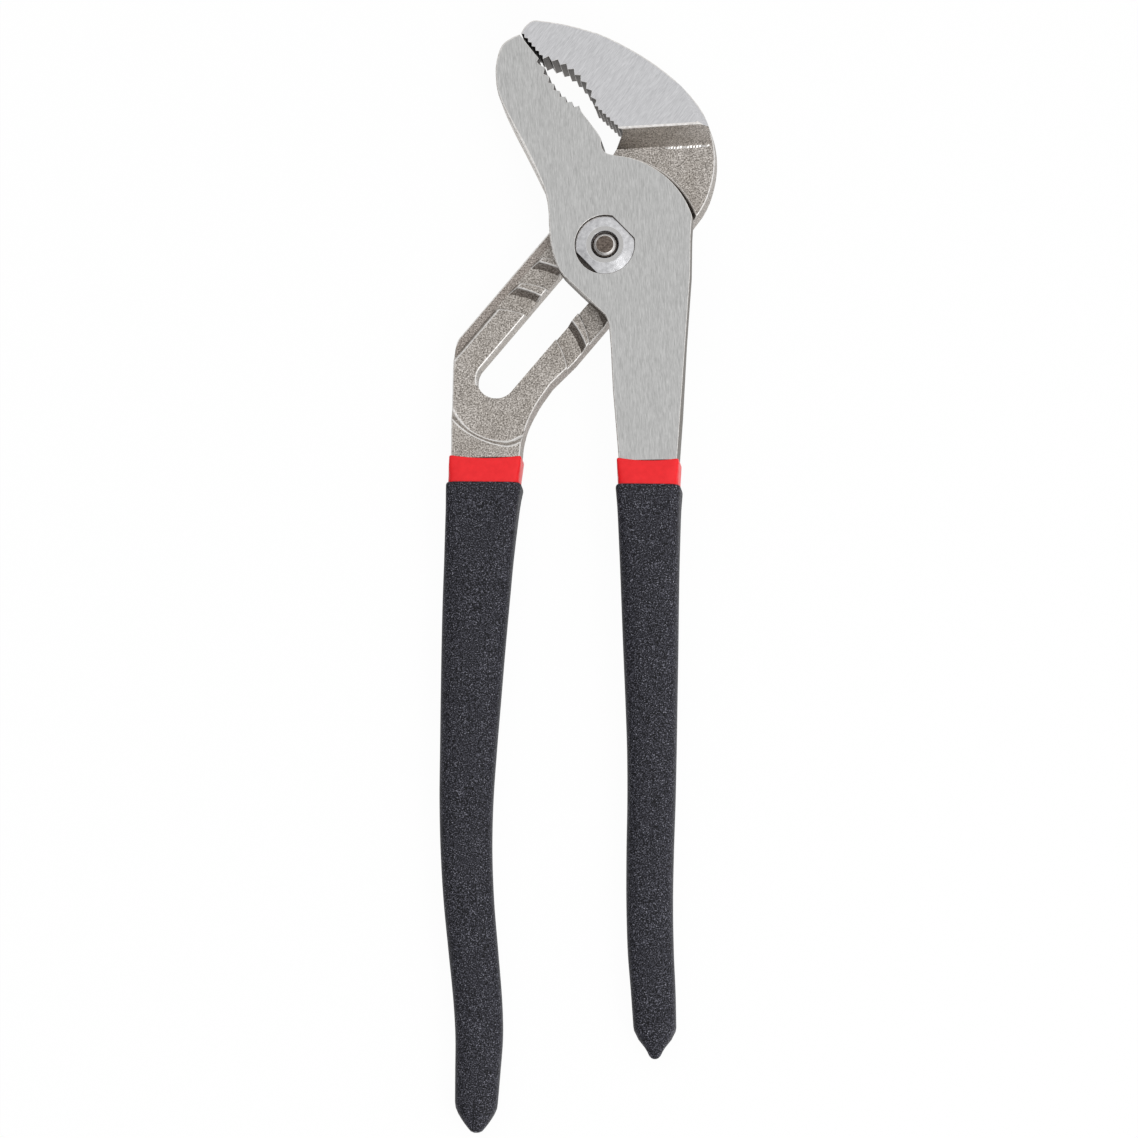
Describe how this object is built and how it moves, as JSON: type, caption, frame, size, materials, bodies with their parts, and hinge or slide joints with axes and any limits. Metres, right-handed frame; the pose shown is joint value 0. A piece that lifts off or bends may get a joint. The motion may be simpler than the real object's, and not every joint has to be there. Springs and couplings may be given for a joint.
{
  "type": "water pump pliers",
  "caption": "Adjustable water pump pliers: crossed forged levers with toothed jaws, a tongue that drops into arc grooves beside a slanted slot, a bolt with a recessed nut, and dipped handles.",
  "frame": {"origin": "on the bolt's axis, at the flat face of its head, flush with the rear lever's back", "axes": "+Y from the handles towards the jaws, +Z from the back of the tool towards its nut side, +X towards the front lever's handle"},
  "size_m": [0.0737, 0.3, 0.0153],
  "materials": {
    "blasted_steel": "forged, shot-blasted matt grey",
    "ground_steel": "ground with a straight grain along the tool",
    "bolt_steel": "dull, as turned",
    "plated_steel": "bright plated",
    "red_vinyl": "satin dip",
    "black_vinyl": "finely grained dip"
  },
  "bodies": {
    "rear": {"rear_lever": "blasted_steel", "rear_inner_sleeve": "red_vinyl", "rear_outer_grip": "black_vinyl"},
    "pivot": {"pivot_bolt": "bolt_steel"},
    "front": {"front_lever": "ground_steel", "pivot_nut": "plated_steel", "front_inner_sleeve": "red_vinyl", "front_outer_grip": "black_vinyl"}
  },
  "joints": [
    {"name": "setting_slide", "type": "slide", "parent": "rear", "child": "pivot", "axis": [-0.6468, -0.7627, 0], "range_m": [0, 0.02736]},
    {"name": "jaw_hinge", "type": "hinge", "parent": "pivot", "child": "front", "pos_m": [0, 0, 0], "axis": [0, 0, 1], "range_deg": [0, 45]}
  ]
}
